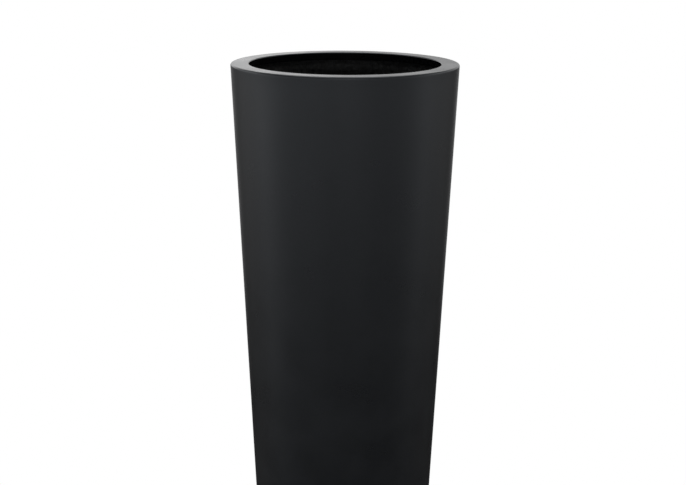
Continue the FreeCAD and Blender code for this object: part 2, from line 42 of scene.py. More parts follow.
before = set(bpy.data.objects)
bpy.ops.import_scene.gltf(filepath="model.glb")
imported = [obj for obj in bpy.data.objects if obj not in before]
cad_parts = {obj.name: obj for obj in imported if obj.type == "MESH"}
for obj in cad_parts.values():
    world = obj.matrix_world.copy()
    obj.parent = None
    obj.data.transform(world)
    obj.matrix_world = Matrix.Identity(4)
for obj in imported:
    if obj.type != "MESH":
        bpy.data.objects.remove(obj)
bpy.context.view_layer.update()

MM = 0.001
SIDES = ("right", "back", "left", "front")
CORNERS = ("back_right", "back_left", "front_left", "front_right")
WALL_LOW, WALL_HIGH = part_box("outer_shell")
RIM_LOW, RIM_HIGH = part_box("rim_ring")
STRIP_LOW, STRIP_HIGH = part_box("rim_joint_strip")
PAN_LOW, PAN_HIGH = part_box("base_pan")
BEAD_LOW, BEAD_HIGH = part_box("base_bond_bead")
JOINT_GAP = 0.3 * MM
BEAD_GAP = 0.05 * MM
ROUNDING_STEP = math.radians(15)  # a rounding has one row of faces for each such turn


def linear(hex_colour):
    """An sRGB hex colour as linear red, green and blue."""
    values = [int(hex_colour[start:start + 2], 16) / 255 for start in (1, 3, 5)]
    return tuple(v / 12.92 if v <= 0.04045 else ((v + 0.055) / 1.055) ** 2.4 for v in values)


# ---- sizes and colours ----


class PlanterSizes(bpy.types.PropertyGroup):
    """Sizes of the pieces that are made here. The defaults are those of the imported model."""

    segments: IntProperty(
        name="Segments", description="Faces round the wall and the rim", default=384, min=48)
    strip_segments: IntProperty(
        name="Strip segments", description="Faces round the laminate under the rim", default=512, min=48)
    floor_segments: IntProperty(
        name="Floor segments", description="Faces round the floor and its resin fillet", default=256, min=48)
    foot_segments: IntProperty(
        name="Foot segments", description="Faces round each foot", default=64, min=16)
    base_radius: FloatProperty(
        name="Base radius", description="Radius of the wall at its lower end",
        default=0.150, subtype="DISTANCE", unit="LENGTH")
    wall: FloatProperty(
        name="Wall", description="Thickness of the wall",
        default=0.005, subtype="DISTANCE", unit="LENGTH")
    wall_foot_rounding: FloatProperty(
        name="Wall foot rounding", description="Radius of the wall's lower outer edge",
        default=0.0015, subtype="DISTANCE", unit="LENGTH")
    lip_radius: FloatProperty(
        name="Lip radius", description="Radius of the opening",
        default=0.168, subtype="DISTANCE", unit="LENGTH")
    lip_thickness: FloatProperty(
        name="Lip thickness", description="Thickness of the lip that turns down into the opening",
        default=0.004, subtype="DISTANCE", unit="LENGTH")
    rim_rounding: FloatProperty(
        name="Rim rounding", description="Radius of the rim's outer edge",
        default=0.0030, subtype="DISTANCE", unit="LENGTH")
    lip_rounding: FloatProperty(
        name="Lip rounding", description="Radius of the rim's inner edge",
        default=0.0015, subtype="DISTANCE", unit="LENGTH")
    waviness: FloatProperty(
        name="Waviness", description="How far the painted wall dips between its high spots",
        default=0.00022, subtype="DISTANCE", unit="LENGTH")
    laminate_relief: FloatProperty(
        name="Laminate relief", description="Depth of the hollows in the raw laminate",
        default=0.0016, subtype="DISTANCE", unit="LENGTH")
    strip_thickness: FloatProperty(
        name="Strip thickness", description="Thickness of the laminate under the rim",
        default=0.003, subtype="DISTANCE", unit="LENGTH")
    strip_reach: FloatProperty(
        name="Strip reach", description="Radius to which the laminate runs in under the rim",
        default=0.1804, subtype="DISTANCE", unit="LENGTH")
    strip_cove: FloatProperty(
        name="Strip cove", description="How far below the rim the laminate's hollow curve runs out",
        default=0.011, subtype="DISTANCE", unit="LENGTH")
    strip_rows: FloatProperty(
        name="Strip rows", description="Spacing of the rows of faces on the laminate under the rim",
        default=0.0022, subtype="DISTANCE", unit="LENGTH")
    strip_rag: FloatProperty(
        name="Strip rag", description="How far the laminate's torn lower edge rises between its tufts",
        default=0.004, subtype="DISTANCE", unit="LENGTH")
    floor_thickness: FloatProperty(
        name="Floor thickness", description="Thickness of the planter's floor",
        default=0.006, subtype="DISTANCE", unit="LENGTH")
    flange_thickness: FloatProperty(
        name="Flange thickness", description="Thickness of the floor's turned-up edge",
        default=0.004, subtype="DISTANCE", unit="LENGTH")
    drain_hole_radius: FloatProperty(
        name="Drain hole radius", description="Radius of the hole for the drain outlet",
        default=0.0148, subtype="DISTANCE", unit="LENGTH")


class PlanterColours(bpy.types.PropertyGroup):
    """Colours of the planter's materials."""

    paint: FloatVectorProperty(
        name="Paint", description="Satin paint on the wall and the rim",
        subtype="COLOR", default=linear("#0D0E10"), min=0, max=1)
    # The gelcoat colour, darker than the paint, is painted shade on the lip under the rim.
    gelcoat_painted_shade: FloatVectorProperty(
        name="Gelcoat", description="Polished gelcoat on the lip of the rim",
        subtype="COLOR", default=linear("#050506"), min=0, max=1)
    laminate: FloatVectorProperty(
        name="Laminate", description="Pigmented resin of the raw laminate",
        subtype="COLOR", default=linear("#0A0B0C"), min=0, max=1)
    strand: FloatVectorProperty(
        name="Strands", description="Glass strands that show through the resin",
        subtype="COLOR", default=linear("#282A2C"), min=0, max=1)
    flow_coat: FloatVectorProperty(
        name="Flow coat", description="Brushed coat on the floor of the planter and on the blocks",
        subtype="COLOR", default=linear("#34363A"), min=0, max=1)
    flow_coat_strand: FloatVectorProperty(
        name="Flow coat strands", description="Strands that show through the flow coat",
        subtype="COLOR", default=linear("#4C4F53"), min=0, max=1)
    resin: FloatVectorProperty(
        name="Bonding resin", description="Resin fillet round the floor of the planter",
        subtype="COLOR", default=linear("#17181A"), min=0, max=1)
    shelf: FloatVectorProperty(
        name="Shelf", description="Moulded shelf", subtype="COLOR", default=linear("#1C1D1F"), min=0, max=1)
    nylon: FloatVectorProperty(
        name="Nylon", description="Drain outlet and its nut",
        subtype="COLOR", default=linear("#131314"), min=0, max=1)
    rubber: FloatVectorProperty(
        name="Rubber", description="Feet, gasket and plug",
        subtype="COLOR", default=linear("#222222"), min=0, max=1)
    steel: FloatVectorProperty(
        name="Stainless steel", description="Screws and washers of the feet",
        subtype="COLOR", default=linear("#C9C7C3"), min=0, max=1)
    brass: FloatVectorProperty(
        name="Brass", description="Threaded inserts of the feet",
        subtype="COLOR", default=linear("#C2A15A"), min=0, max=1)
    floor: FloatVectorProperty(
        name="Floor", description="Studio floor", subtype="COLOR", default=linear("#E6E6E6"), min=0, max=1)


class PlanterStudio(bpy.types.PropertyGroup):
    """Lamps and floor of the studio."""

    left_lamp: FloatProperty(
        name="Left lamp", description="Power of the softbox on the left",
        default=3.5, subtype="POWER", unit="POWER")
    right_lamp: FloatProperty(
        name="Right lamp", description="Power of the softbox on the right",
        default=2.5, subtype="POWER", unit="POWER")
    front_lamp: FloatProperty(
        name="Front lamp", description="Power of the low softbox in front",
        default=17, subtype="POWER", unit="POWER")
    top_lamp: FloatProperty(
        name="Top lamp", description="Power of the softbox overhead",
        default=40, subtype="POWER", unit="POWER")
    back_lamp: FloatProperty(
        name="Back lamp", description="Power of the softbox behind",
        default=2.5, subtype="POWER", unit="POWER")
    fill: FloatProperty(
        name="Fill", description="Strength of the even light from all round", default=0.6, min=0)
    room: FloatProperty(
        name="Room", description="How bright reflections find the room below the horizon", default=1.0, min=0)
    floor_radius: FloatProperty(
        name="Floor radius", description="Radius of the floor",
        default=0.45, subtype="DISTANCE", unit="LENGTH")
    floor_glow: FloatProperty(
        name="Floor glow", description="Strength of the floor's own light", default=0.14, min=0)


# ---- nodes and materials ----


def add_node(tree, kind, settings=None, inputs=None):
    """Adds a node. Settings are its properties, and inputs are values or sockets of other nodes."""
    node = tree.nodes.new(kind)
    for name, value in (settings or {}).items():
        setattr(node, name, value)
    for name, value in (inputs or {}).items():
        if isinstance(value, bpy.types.NodeSocket):
            tree.links.new(value, node.inputs[name])
        else:
            node.inputs[name].default_value = value
    return node


def per_metre(size_mm):
    """Scale of a pattern whose features are this many millimetres wide."""
    return 1 / (size_mm * MM)


def shade(colour, factor):
    """A linear colour made lighter or darker, with an alpha of 1."""
    return (*(min(1, channel * factor) for channel in colour), 1)


def start_material(name):
    """An empty node material, its tree and its object coordinates, which are in metres."""
    material = bpy.data.materials.new(name)
    material.use_nodes = True
    tree = material.node_tree
    tree.nodes.clear()
    place = add_node(tree, "ShaderNodeTexCoord").outputs["Object"]
    return material, tree, place


def end_material(tree, inputs):
    """Closes a material with its shader, whose inputs are given, and the output."""
    shader = add_node(tree, "ShaderNodeBsdfPrincipled", inputs=inputs)
    add_node(tree, "ShaderNodeOutputMaterial", inputs={"Surface": shader.outputs["BSDF"]})


def painted_grp(colours):
    """Satin two-pack polyurethane enamel, sprayed on glass-reinforced polyester.

    To the eye: a near-black film with a broad, soft sheen, a faint orange peel and a fine dry speckle
    where the light grazes it.
    """
    material, tree, place = start_material("satin_enamel_on_grp")
    clouds = add_node(tree, "ShaderNodeTexNoise", inputs={
        "Vector": place, "Scale": per_metre(70), "Detail": 3.0, "Roughness": 0.55})
    # The grit of the paint is about 0.3 mm, and is drawn at 2.2 mm so that it shows.
    speckle = add_node(tree, "ShaderNodeTexNoise", inputs={
        "Vector": place, "Scale": per_metre(2.2), "Detail": 2.0, "Roughness": 0.7})
    peel = add_node(tree, "ShaderNodeTexNoise", inputs={
        "Vector": place, "Scale": per_metre(5), "Detail": 2.0, "Roughness": 0.5})
    body = add_node(tree, "ShaderNodeMix", {"data_type": "RGBA"}, {
        "Factor": clouds.outputs["Fac"], "A": shade(colours.paint, 0.8), "B": shade(colours.paint, 1.25)})
    grit = add_node(tree, "ShaderNodeMapRange", inputs={
        "Value": speckle.outputs["Fac"], "From Min": 0.3, "From Max": 0.75, "To Min": 0.8, "To Max": 1.3})
    colour = add_node(tree, "ShaderNodeVectorMath", {"operation": "SCALE"}, {
        "Vector": body.outputs["Result"], "Scale": grit.outputs["Result"]})
    sheen = add_node(tree, "ShaderNodeMapRange", inputs={
        "Value": clouds.outputs["Fac"], "From Min": 0.3, "From Max": 0.7, "To Min": 0.27, "To Max": 0.33})
    grain = add_node(tree, "ShaderNodeBump", inputs={
        "Height": speckle.outputs["Fac"], "Strength": 0.5, "Distance": 0.00006})
    relief = add_node(tree, "ShaderNodeBump", inputs={
        "Height": peel.outputs["Fac"], "Strength": 0.6, "Distance": 0.00008,
        "Normal": grain.outputs["Normal"]})
    end_material(tree, {
        "Base Color": colour.outputs["Vector"], "Roughness": sheen.outputs["Result"],
        "Normal": relief.outputs["Normal"], "IOR": 1.48, "Specular Tint": (0.88, 0.93, 1.0, 1.0)})
    return material


def lip_gelcoat_painted_shade(colours):
    """Black polyester gelcoat as it leaves a polished mould, on the lip, where the paint stops. Its colour,
    darker than the paint's, is painted shade for the lip in shadow under the rim.

    To the eye: a glossy, deep black that mirrors the dark inside of the planter.
    """
    material, tree, place = start_material("polished_gelcoat_with_painted_shade")
    haze = add_node(tree, "ShaderNodeTexNoise", inputs={
        "Vector": place, "Scale": per_metre(25), "Detail": 3.0})
    colour = add_node(tree, "ShaderNodeMix", {"data_type": "RGBA"}, {
        "Factor": haze.outputs["Fac"], "A": shade(colours.gelcoat_painted_shade, 0.8), "B": shade(colours.gelcoat_painted_shade, 1.3)})
    gloss = add_node(tree, "ShaderNodeMapRange", inputs={
        "Value": haze.outputs["Fac"], "From Min": 0.3, "From Max": 0.7, "To Min": 0.03, "To Max": 0.08})
    ripple = add_node(tree, "ShaderNodeBump", inputs={
        "Height": haze.outputs["Fac"], "Strength": 0.3, "Distance": 0.0002})
    end_material(tree, {
        "Base Color": colour.outputs["Result"], "Roughness": gloss.outputs["Result"],
        "Normal": ripple.outputs["Normal"], "IOR": 1.5})
    return material


def laminate_skin(name, skin, strand):
    """The rough side of a hand-laid chopped-strand mat, in the colours of its resin and its strands."""
    material, tree, place = start_material(name)
    lumps = add_node(tree, "ShaderNodeTexNoise", inputs={
        "Vector": place, "Scale": per_metre(9), "Detail": 4.0, "Roughness": 0.6})
    pools = add_node(tree, "ShaderNodeTexVoronoi", {"feature": "SMOOTH_F1"}, {
        "Vector": place, "Scale": per_metre(7), "Smoothness": 0.6})
    # Strands are 0.6 mm wide, and are drawn 1.8 mm wide and 30 mm long so that they show.
    strands = 0.0
    for tilt in ((0.3, 0.9, 0.2), (1.1, 0.2, 1.4), (0.7, 2.3, 0.6), (2.1, 1.3, 2.5)):
        lay = add_node(tree, "ShaderNodeMapping", inputs={
            "Vector": place, "Rotation": tilt, "Scale": (per_metre(1.8), per_metre(1.8), per_metre(30))})
        streak = add_node(tree, "ShaderNodeTexNoise", inputs={
            "Vector": lay.outputs["Vector"], "Scale": 1.0, "Detail": 1.0})
        ridge = add_node(tree, "ShaderNodeMapRange", inputs={
            "Value": streak.outputs["Fac"], "From Min": 0.56, "From Max": 0.72}).outputs["Result"]
        strands = add_node(tree, "ShaderNodeMath", {"operation": "MAXIMUM"}, {
            0: strands, 1: ridge}).outputs["Value"]
    resin = add_node(tree, "ShaderNodeMix", {"data_type": "RGBA"}, {
        "Factor": lumps.outputs["Fac"], "A": shade(skin, 0.55), "B": shade(skin, 1.7)})
    showing = add_node(tree, "ShaderNodeMath", {"operation": "MULTIPLY"}, {
        0: strands, 1: lumps.outputs["Fac"]})
    colour = add_node(tree, "ShaderNodeMix", {"data_type": "RGBA"}, {
        "Factor": showing.outputs["Value"], "A": resin.outputs["Result"], "B": shade(strand, 1)})
    gloss = add_node(tree, "ShaderNodeMapRange", inputs={
        "Value": pools.outputs["Distance"], "From Min": 0.1, "From Max": 0.6, "To Min": 0.32, "To Max": 0.6})
    lumpy = add_node(tree, "ShaderNodeBump", inputs={
        "Height": lumps.outputs["Fac"], "Strength": 1.0, "Distance": 0.002})
    relief = add_node(tree, "ShaderNodeBump", inputs={
        "Height": strands, "Strength": 0.6, "Distance": 0.0004, "Normal": lumpy.outputs["Normal"]})
    end_material(tree, {
        "Base Color": colour.outputs["Result"], "Roughness": gloss.outputs["Result"],
        "Normal": relief.outputs["Normal"], "IOR": 1.55})
    return material


def raw_laminate(colours):
    """Chopped-strand glass mat, laid up by hand in black-pigmented polyester, its rough side bare.

    To the eye: a lumpy near-black skin, wet-looking where resin pooled and dull where strands stand up,
    with short pale strands that cross at all angles.
    """
    return laminate_skin("chopped_strand_laminate", colours.laminate, colours.strand)


def flow_coated_laminate(colours):
    """The same mat under a brushed flow coat of grey polyester, as on a planter's floor and feet blocks.

    To the eye: a dark grey skin that softens the lumps and lets the strands show through faintly.
    """
    return laminate_skin("flow_coated_laminate", colours.flow_coat, colours.flow_coat_strand)


def bonding_resin(colours):
    """Thickened polyester bonding paste, drawn along the joint with a rounded spatula.

    To the eye: smoother and glossier than the laminate, with slow ripples and a few dull patches.
    """
    material, tree, place = start_material("polyester_bonding_paste")
    ripple = add_node(tree, "ShaderNodeTexNoise", inputs={
        "Vector": place, "Scale": per_metre(12), "Detail": 2.0})
    colour = add_node(tree, "ShaderNodeMix", {"data_type": "RGBA"}, {
        "Factor": ripple.outputs["Fac"], "A": shade(colours.resin, 0.7), "B": shade(colours.resin, 1.4)})
    gloss = add_node(tree, "ShaderNodeMapRange", inputs={
        "Value": ripple.outputs["Fac"], "From Min": 0.3, "From Max": 0.7, "To Min": 0.25, "To Max": 0.42})
    relief = add_node(tree, "ShaderNodeBump", inputs={
        "Height": ripple.outputs["Fac"], "Strength": 0.5, "Distance": 0.0008})
    end_material(tree, {
        "Base Color": colour.outputs["Result"], "Roughness": gloss.outputs["Result"],
        "Normal": relief.outputs["Normal"], "IOR": 1.55})
    return material


def moulded_plastic(name, colour, grain_mm, roughness, ior):
    """A moulded plastic or rubber: one colour through and through, with a fine even grain from the mould."""
    material, tree, place = start_material(name)
    grain = add_node(tree, "ShaderNodeTexNoise", inputs={
        "Vector": place, "Scale": per_metre(grain_mm), "Detail": 2.0, "Roughness": 0.6})
    flow = add_node(tree, "ShaderNodeTexNoise", inputs={
        "Vector": place, "Scale": per_metre(45), "Detail": 2.0})
    tint = add_node(tree, "ShaderNodeMix", {"data_type": "RGBA"}, {
        "Factor": flow.outputs["Fac"], "A": shade(colour, 0.8), "B": shade(colour, 1.25)})
    dullness = add_node(tree, "ShaderNodeMapRange", inputs={
        "Value": flow.outputs["Fac"], "From Min": 0.3, "From Max": 0.7,
        "To Min": roughness - 0.05, "To Max": roughness + 0.07})
    relief = add_node(tree, "ShaderNodeBump", inputs={
        "Height": grain.outputs["Fac"], "Strength": 0.5, "Distance": 0.00012})
    end_material(tree, {
        "Base Color": tint.outputs["Result"], "Roughness": dullness.outputs["Result"],
        "Normal": relief.outputs["Normal"], "IOR": ior})
    return material


def turned_metal(name, colour, roughness):
    """A bar-turned metal part: bright, with fine level tool marks and slightly uneven polish."""
    material, tree, place = start_material(name)
    # Tool marks are 0.1 mm apart, and are drawn 0.4 mm apart so that they show.
    level = add_node(tree, "ShaderNodeMapping", inputs={
        "Vector": place, "Scale": (per_metre(8), per_metre(8), per_metre(0.4))})
    marks = add_node(tree, "ShaderNodeTexNoise", inputs={
        "Vector": level.outputs["Vector"], "Scale": 1.0, "Detail": 2.0})
    tint = add_node(tree, "ShaderNodeMix", {"data_type": "RGBA"}, {
        "Factor": marks.outputs["Fac"], "A": shade(colour, 0.85), "B": shade(colour, 1.05)})
    polish = add_node(tree, "ShaderNodeMapRange", inputs={
        "Value": marks.outputs["Fac"], "From Min": 0.3, "From Max": 0.7,
        "To Min": roughness - 0.06, "To Max": roughness + 0.08})
    relief = add_node(tree, "ShaderNodeBump", inputs={
        "Height": marks.outputs["Fac"], "Strength": 0.3, "Distance": 0.00003})
    end_material(tree, {
        "Base Color": tint.outputs["Result"], "Roughness": polish.outputs["Result"],
        "Normal": relief.outputs["Normal"], "Metallic": 1.0})
    return material


def polypropylene(colours):
    """Injection-moulded polypropylene with a spark-eroded grain: a dull, even, slightly waxy black."""
    return moulded_plastic("moulded_polypropylene", colours.shelf, 1.2, 0.5, 1.49)


def glass_filled_nylon(colours):
    """Glass-filled nylon 6, moulded: a tight satin black with a faint bloom of fibres."""
    return moulded_plastic("glass_filled_nylon", colours.nylon, 0.9, 0.42, 1.53)


def moulded_rubber(colours):
    """Compression-moulded EPDM rubber: soft, matt and slightly dusty."""
    return moulded_plastic("moulded_epdm_rubber", colours.rubber, 1.0, 0.72, 1.5)


def stainless_steel(colours):
    """A2 stainless steel, turned and left bright."""
    return turned_metal("turned_stainless_steel", colours.steel, 0.3)


def turned_brass(colours):
    """Free-machining brass, turned."""
    return turned_metal("turned_brass", colours.brass, 0.34)


made_materials = {}


def material_of(maker):
    """The material that a function makes, made once."""
    key = maker.__name__
    if key not in made_materials:
        made_materials[key] = maker(bpy.context.scene.planter_colours)
    return made_materials[key]


# ---- turned meshes ----


def rounded(outline):
    """An outline with its corners rounded.

    Each corner is (radius, height, rounding, relief, step). The relief is a function of the place, or None,
    and it and the step, which is the spacing of rows, hold for the edge from this corner to the next.
    The outline runs anticlockwise, so a corner that turns left stands out and one that turns right is hollow.
    The result is a list of (radius, height, outward normal, relief).
    """
    count = len(outline)
    rows = []
    for index, (radius, height, rounding, relief, step) in enumerate(outline):
        before = Vector(outline[index - 1][:2])
        corner = Vector((radius, height))
        after = Vector(outline[(index + 1) % count][:2])
        way_in = (corner - before).normalized()
        way_out = (after - corner).normalized()
        normal_in = Vector((way_in.y, -way_in.x))
        normal_out = Vector((way_out.y, -way_out.x))
        bend = abs(way_in.angle_signed(way_out))
        start = corner
        if rounding > 0:
            cut = rounding * math.tan(bend / 2)
            steps = max(2, math.ceil(bend / ROUNDING_STEP))
            out = 1 if way_in.x * way_out.y - way_in.y * way_out.x > 0 else -1
            centre = corner - way_in * cut - normal_in * rounding * out
            for number in range(steps + 1):
                angle = bend * number / steps
                normal = normal_in * math.cos(angle) + way_in * out * math.sin(angle)
                spot = centre + normal * rounding * out
                rows.append((spot.x, spot.y, normal, None))
            start = corner + way_out * cut
        else:
            rows.append((corner.x, corner.y, (normal_in + normal_out).normalized(), None))
        next_rounding = outline[(index + 1) % count][2]
        length = (after - start).length - next_rounding
        pieces = max(1, round(length / step)) if step else 1
        for number in range(1, pieces):
            spot = start + way_out * length * number / pieces
            rows.append((spot.x, spot.y, normal_out, relief))
    return rows


def turn(name, outline, material, segments, sharp, centre=(0, 0)):
    """Turns a closed outline about an upright line and presses its reliefs in.

    Edges that bend by more than the sharp angle, in degrees, stay sharp.
    """
    rows = rounded(outline)
    points = []
    faces = []
    for radius, height, normal, relief in rows:
        for number in range(segments):
            angle = 2 * math.pi * number / segments
            across = Vector((math.cos(angle), math.sin(angle), 0))
            spot = across * radius + Vector((centre[0], centre[1], height))
            if relief:
                outward = across * normal.x + Vector((0, 0, normal.y))
                spot -= outward * relief(spot)
            points.append(spot)
    count = len(rows)
    for row in range(count):
        above = (row + 1) % count
        for number in range(segments):
            beside = (number + 1) % segments
            faces.append((row * segments + number, row * segments + beside,
                          above * segments + beside, above * segments + number))
    mesh = bpy.data.meshes.new(name)
    mesh.from_pydata(points, [], faces)
    mesh.polygons.foreach_set("use_smooth", [True] * len(faces))
    mesh.materials.append(material)
    mesh.update()
    mesh.set_sharp_from_angle(angle=math.radians(sharp))
    piece = bpy.data.objects.new(name, mesh)
    bpy.context.scene.collection.objects.link(piece)
    return piece


def place_piece(piece, body, slot, *nodes):
    """Lets a piece ride on a body, in the stead of the nodes that it was made for."""
    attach(piece, body)
    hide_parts(*nodes)


def finish_nodes(names, maker):
    """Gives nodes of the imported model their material."""
    for name in names:
        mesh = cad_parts[name].data
        mesh.materials.clear()
        mesh.materials.append(material_of(maker))


# ---- reliefs ----


def wave_relief(sizes):
    """Slow dips of a moulded and sanded wall, about 120 mm across."""
    return lambda spot: sizes.waviness * (0.5 + 0.5 * noise.noise(spot / (120 * MM)))


def mat_relief(sizes, depth=1.0):
    """Lumps of chopped-strand mat, about 9 mm across, with coarse strand ends and a slow swell."""
    def relief(spot):
        lumps = noise.noise(spot / (9 * MM))
        ends = noise.noise(spot / (5 * MM) + Vector((7, 3, 1)))
        swell = noise.noise(spot / (40 * MM))
        level = 0.5 + 0.42 * lumps + 0.3 * ends + 0.25 * swell
        return depth * sizes.laminate_relief * min(1, max(0, level))
    return relief


# ---- pieces ----


def wall_radius(sizes, height):
    """Radius of the wall's outer face at a height."""
    share = (height - WALL_LOW.z) / (WALL_HIGH.z - WALL_LOW.z)
    return sizes.base_radius + share * (WALL_HIGH.x - sizes.base_radius)


class PLANTER_OT_wall(bpy.types.Operator):
    """Makes the tapering wall, painted outside and raw laminate inside"""

    bl_idname = "planter.make_wall"
    bl_label = "Painted wall"

    def execute(self, context):
        sizes = context.scene.planter_sizes
        low = WALL_LOW.z
        top = WALL_HIGH.z
        pan = PAN_HIGH.z
        deep = STRIP_LOW.z - 60 * MM
        wave = wave_relief(sizes)
        mat = mat_relief(sizes)
        wave_rows = 12 * MM
        # The laminate has its closest rows under the rim, and its widest behind the floor's turned-up edge.
        near_rows = 3 * MM
        deep_rows = 5.5 * MM
        hidden_rows = 10 * MM
        outline = [
            (wall_radius(sizes, low) - sizes.wall, low, 0, None, 0),
            (wall_radius(sizes, low), low, sizes.wall_foot_rounding, wave, wave_rows),
            (wall_radius(sizes, top), top, 0, None, 0),
            (wall_radius(sizes, top) - sizes.wall, top, 0, mat, near_rows),
            (wall_radius(sizes, deep) - sizes.wall, deep, 0, mat, deep_rows),
            (wall_radius(sizes, pan) - sizes.wall, pan, 0, mat, hidden_rows),
        ]
        piece = turn("painted_wall", outline, material_of(painted_grp), sizes.segments, sharp=50)
        piece.data.materials.append(material_of(raw_laminate))
        inner_skin = sizes.wall * 0.6
        for face in piece.data.polygons:
            centre = face.center
            if math.hypot(centre.x, centre.y) < wall_radius(sizes, centre.z) - inner_skin:
                face.material_index = 1
        place_piece(piece, "planter", "painted_grp", "outer_shell")
        return {"FINISHED"}


class PLANTER_OT_rim(bpy.types.Operator):
    """Makes the flat rim with its rounded edges and the lip down into the opening"""

    bl_idname = "planter.make_rim"
    bl_label = "Rim"

    def execute(self, context):
        sizes = context.scene.planter_sizes
        low = RIM_LOW.z
        under = WALL_HIGH.z
        top = RIM_HIGH.z
        lip = sizes.lip_radius
        lip_foot_inside = 1.5 * MM
        lip_foot_outside = 1 * MM
        top_rows = 4.5 * MM
        lip_rows = 4 * MM
        outline = [
            (lip, low, lip_foot_inside, None, 0),
            (lip + sizes.lip_thickness, low, lip_foot_outside, None, 0),
            (lip + sizes.lip_thickness, under, 0, None, 0),
            (wall_radius(sizes, under), under, 0, None, 0),
            (wall_radius(sizes, top), top, sizes.rim_rounding, None, top_rows),
            (lip, top, sizes.lip_rounding, None, lip_rows),
        ]
        piece = turn("rim", outline, material_of(painted_grp), sizes.segments, sharp=50)
        piece.data.materials.append(material_of(lip_gelcoat_painted_shade))
        # The paint stops where the lip turns down, and the gelcoat goes a little way round the lip's foot; its
        # darker colour there is painted shade.
        painted_shade_radius = lip + 0.6 * MM
        painted_shade_height = top - sizes.lip_rounding
        for face in piece.data.polygons:
            centre = face.center
            if math.hypot(centre.x, centre.y) < painted_shade_radius and centre.z < painted_shade_height:
                face.material_index = 1
        place_piece(piece, "planter", "painted_grp", "rim_ring")
        return {"FINISHED"}


class PLANTER_OT_rim_joint(bpy.types.Operator):
    """Makes the strip of laminate in the corner under the rim, with its ragged lower edge"""

    bl_idname = "planter.make_rim_joint"
    bl_label = "Laminate under the rim"

    def execute(self, context):
        sizes = context.scene.planter_sizes
        low = STRIP_LOW.z
        top = STRIP_HIGH.z
        thick = sizes.strip_thickness
        outside_low = wall_radius(sizes, low) - sizes.wall - JOINT_GAP
        outside_top = wall_radius(sizes, top) - sizes.wall - JOINT_GAP
        reach = sizes.strip_reach
        cove = sizes.strip_cove
        cove_radius = wall_radius(sizes, top - cove) - sizes.wall - JOINT_GAP - thick
        mat = mat_relief(sizes, depth=1.4)
        rows = sizes.strip_rows
        foot_rounding = 1.2 * MM
        ledge_rounding = 1 * MM
        ledge = 2 * MM
        # Mat can't follow a sharp corner, so it bridges this one in a hollow curve.
        outline = [
            (outside_low - thick, low, foot_rounding, None, 0),
            (outside_low, low, 0, None, 0),
            (outside_top, top, 0, None, 0),
            (reach, top, 0, None, 0),
            (reach, top - thick, ledge_rounding, mat, rows),
            (reach + ledge, top - thick, ledge_rounding, mat, rows),
            (cove_radius, top - cove, cove, mat, rows),
        ]
        piece = turn("rim_joint_laminate", outline, material_of(raw_laminate), sizes.strip_segments, sharp=60)
        # The torn edge rises between tufts about 14 mm apart, and the rise fades out 12 mm above the edge.
        tuft = 14 * MM
        fade = 12 * MM
        for vertex in piece.data.vertices:
            spot = vertex.co
            around = Vector((spot.x, spot.y, 0)) / tuft
            rag = sizes.strip_rag * max(0, 0.4 + noise.noise(around) + 0.5 * noise.noise(around * 3))
            share = min(1, max(0, (low + fade - spot.z) / fade))
            vertex.co.z += rag * share
        place_piece(piece, "planter", "raw_grp", "rim_joint_strip")
        return {"FINISHED"}


class PLANTER_OT_base(bpy.types.Operator):
    """Makes the dished floor and the resin fillet round it"""

    bl_idname = "planter.make_base"
    bl_label = "Floor and resin fillet"

    def execute(self, context):
        sizes = context.scene.planter_sizes
        mat = mat_relief(sizes, depth=0.8)
        plate = sizes.floor_thickness
        flange = sizes.flange_thickness
        low = PAN_LOW.z
        floor_top = low + plate
        top = PAN_HIGH.z
        hole = sizes.drain_hole_radius
        edge_low = wall_radius(sizes, low) - sizes.wall - JOINT_GAP
        edge_top = wall_radius(sizes, top) - sizes.wall - JOINT_GAP
        corner = wall_radius(sizes, floor_top) - sizes.wall - JOINT_GAP - flange
        rows = 4 * MM
        bend = 3 * MM
        hole_edge = 0.6 * MM
        flange_edge = 1 * MM
        outline = [
            (hole, low, hole_edge, mat, rows),
            (edge_low, low, bend, None, 0),
            (edge_top, top, 0, None, 0),
            (edge_top - flange, top, flange_edge, mat, rows),
            (corner, floor_top, bend, mat, rows),
            (hole, floor_top, hole_edge, None, 0),
        ]
        pan = turn("floor_pan", outline, material_of(flow_coated_laminate), sizes.floor_segments, sharp=50)
        place_piece(pan, "planter", "raw_grp", "base_pan")
        bead_foot = BEAD_LOW.z
        bead_top = BEAD_HIGH.z
        foot_radius = wall_radius(sizes, bead_foot) - sizes.wall - BEAD_GAP
        top_radius = wall_radius(sizes, bead_top) - sizes.wall - BEAD_GAP
        leg = bead_top - bead_foot
        ripple = mat_relief(sizes, depth=0.35)
        ripple_rows = 1.5 * MM
        outline = [
            (foot_radius - leg, bead_foot, 0, None, 0),
            (foot_radius, bead_foot, 0, None, 0),
            (top_radius, bead_top, 0, ripple, ripple_rows),
        ]
        bead = turn("resin_fillet", outline, material_of(bonding_resin), sizes.floor_segments, sharp=70)
        place_piece(bead, "planter", "bonding_resin", "base_bond_bead")
        return {"FINISHED"}


